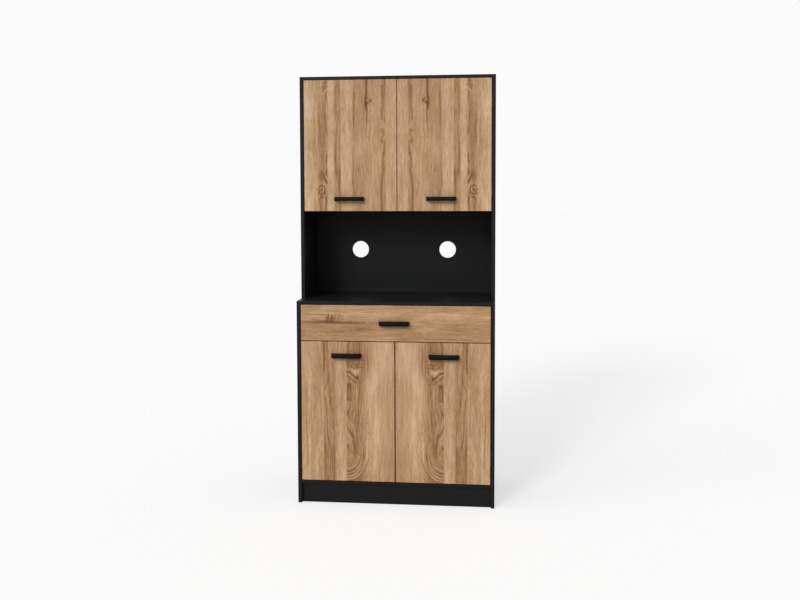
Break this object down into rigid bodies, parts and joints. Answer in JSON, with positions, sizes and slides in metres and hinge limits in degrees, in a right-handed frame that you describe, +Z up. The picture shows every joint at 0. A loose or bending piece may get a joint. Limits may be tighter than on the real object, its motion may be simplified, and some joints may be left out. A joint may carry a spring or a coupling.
{
  "type": "kitchen cabinet",
  "caption": "Tall kitchen cabinet with a drawer and hinged doors below, an open niche above the worktop, and a shallower cupboard with hinged doors on top.",
  "frame": {"origin": "on the floor, in the middle of the whole footprint, handles included", "axes": "+X to the right seen from the front, +Y to the back, +Z up; the doors and the drawer open towards -Y"},
  "size_m": [0.8, 0.427, 1.74],
  "materials": {
    "black_board": "satin black melamine on chipboard, faint grain",
    "black_sheet": "matt black lacquered hardboard",
    "oak_board": "light brown oak decor with a matt open grain",
    "black_handle": "matt black",
    "steel_zinc": "zinc plated",
    "dowel_beech": "plain beech, fluted",
    "roller_nylon": "white nylon",
    "runner_enamel": "cream enamel on pressed steel",
    "bumper_rubber": "soft dark rubber"
  },
  "bodies": {
    "carcass": {"base_side_left": "black_board", "base_side_right": "black_board", "base_bottom": "black_board", "worktop": "black_board", "plinth": "black_board", "drawer_divider": "black_board", "base_shelf": "black_board", "base_back": "black_sheet", "hutch_side_left": "black_board", "hutch_side_right": "black_board", "hutch_top": "black_board", "hutch_floor": "black_board", "hutch_shelf": "black_board", "hutch_back": "black_sheet", "cam_locks": "steel_zinc", "cam_bolts": "steel_zinc", "dowels": "dowel_beech", "shelf_pins": "steel_zinc", "joining_brackets": "steel_zinc", "wall_brackets": "steel_zinc", "board_screws": "steel_zinc", "door_bumpers": "bumper_rubber", "hinge_plates": "steel_zinc", "hinge_arms": "steel_zinc", "hinge_arm_pins": "steel_zinc", "hinge_arm_screws": "steel_zinc", "cabinet_runners": "runner_enamel"},
    "cabinet_rollers": {"cabinet_rollers": "roller_nylon"},
    "drawer": {"drawer_front": "oak_board", "drawer_side_left": "black_board", "drawer_side_right": "black_board", "drawer_back": "black_board", "drawer_bottom": "black_sheet", "drawer_dowels": "dowel_beech", "drawer_handle": "black_handle", "drawer_screws": "steel_zinc", "drawer_rails": "runner_enamel"},
    "drawer_rollers": {"drawer_rollers": "roller_nylon"},
    "upper_left_links": {"upper_left_links": "steel_zinc"},
    "upper_left_door": {"upper_left_door": "oak_board", "upper_left_cups": "steel_zinc", "upper_left_handle": "black_handle", "upper_left_screws": "steel_zinc"},
    "upper_right_links": {"upper_right_links": "steel_zinc"},
    "upper_right_door": {"upper_right_door": "oak_board", "upper_right_cups": "steel_zinc", "upper_right_handle": "black_handle", "upper_right_screws": "steel_zinc"},
    "lower_left_links": {"lower_left_links": "steel_zinc"},
    "lower_left_door": {"lower_left_door": "oak_board", "lower_left_cups": "steel_zinc", "lower_left_handle": "black_handle", "lower_left_screws": "steel_zinc"},
    "lower_right_links": {"lower_right_links": "steel_zinc"},
    "lower_right_door": {"lower_right_door": "oak_board", "lower_right_cups": "steel_zinc", "lower_right_handle": "black_handle", "lower_right_screws": "steel_zinc"}
  },
  "joints": [
    {"name": "drawer_slide", "type": "slide", "parent": "carcass", "child": "drawer", "axis": [0, -1, 0], "range_m": [0, 0.27]},
    {"name": "cabinet_rollers_turn", "type": "hinge", "parent": "carcass", "child": "cabinet_rollers", "pos_m": [0, -0.1515, 0.69905], "axis": [1, 0, 0], "continuous": true},
    {"name": "drawer_rollers_turn", "type": "hinge", "parent": "drawer", "child": "drawer_rollers", "pos_m": [0, 0.1485, 0.70285], "axis": [1, 0, 0], "continuous": true},
    {"name": "upper_left_link_turn", "type": "hinge", "parent": "carcass", "child": "upper_left_links", "pos_m": [-0.3508, -0.0801, 1.459], "axis": [0, 0, 1], "range_deg": [0, 47.5]},
    {"name": "upper_left_door_swing", "type": "hinge", "parent": "upper_left_links", "child": "upper_left_door", "pos_m": [-0.3751, -0.0809, 1.459], "axis": [0, 0, -1], "range_deg": [0, 142.5]},
    {"name": "upper_right_link_turn", "type": "hinge", "parent": "carcass", "child": "upper_right_links", "pos_m": [0.3508, -0.0801, 1.459], "axis": [0, 0, -1], "range_deg": [0, 47.5]},
    {"name": "upper_right_door_swing", "type": "hinge", "parent": "upper_right_links", "child": "upper_right_door", "pos_m": [0.3751, -0.0809, 1.459], "axis": [0, 0, 1], "range_deg": [0, 142.5]},
    {"name": "lower_left_link_turn", "type": "hinge", "parent": "carcass", "child": "lower_left_links", "pos_m": [-0.3508, -0.1761, 0.382], "axis": [0, 0, 1], "range_deg": [0, 47.5]},
    {"name": "lower_left_door_swing", "type": "hinge", "parent": "lower_left_links", "child": "lower_left_door", "pos_m": [-0.3751, -0.1769, 0.382], "axis": [0, 0, -1], "range_deg": [0, 142.5]},
    {"name": "lower_right_link_turn", "type": "hinge", "parent": "carcass", "child": "lower_right_links", "pos_m": [0.3508, -0.1761, 0.382], "axis": [0, 0, -1], "range_deg": [0, 47.5]},
    {"name": "lower_right_door_swing", "type": "hinge", "parent": "lower_right_links", "child": "lower_right_door", "pos_m": [0.3751, -0.1769, 0.382], "axis": [0, 0, 1], "range_deg": [0, 142.5]}
  ],
  "couplings": [
    {"joint": "cabinet_rollers_turn", "follows": "drawer_slide", "rad_per_m": 83.333},
    {"joint": "drawer_rollers_turn", "follows": "drawer_slide", "rad_per_m": 83.333},
    {"joint": "upper_left_link_turn", "follows": "upper_left_door_swing", "ratio": 0.33333},
    {"joint": "upper_right_link_turn", "follows": "upper_right_door_swing", "ratio": 0.33333},
    {"joint": "lower_left_link_turn", "follows": "lower_left_door_swing", "ratio": 0.33333},
    {"joint": "lower_right_link_turn", "follows": "lower_right_door_swing", "ratio": 0.33333}
  ]
}
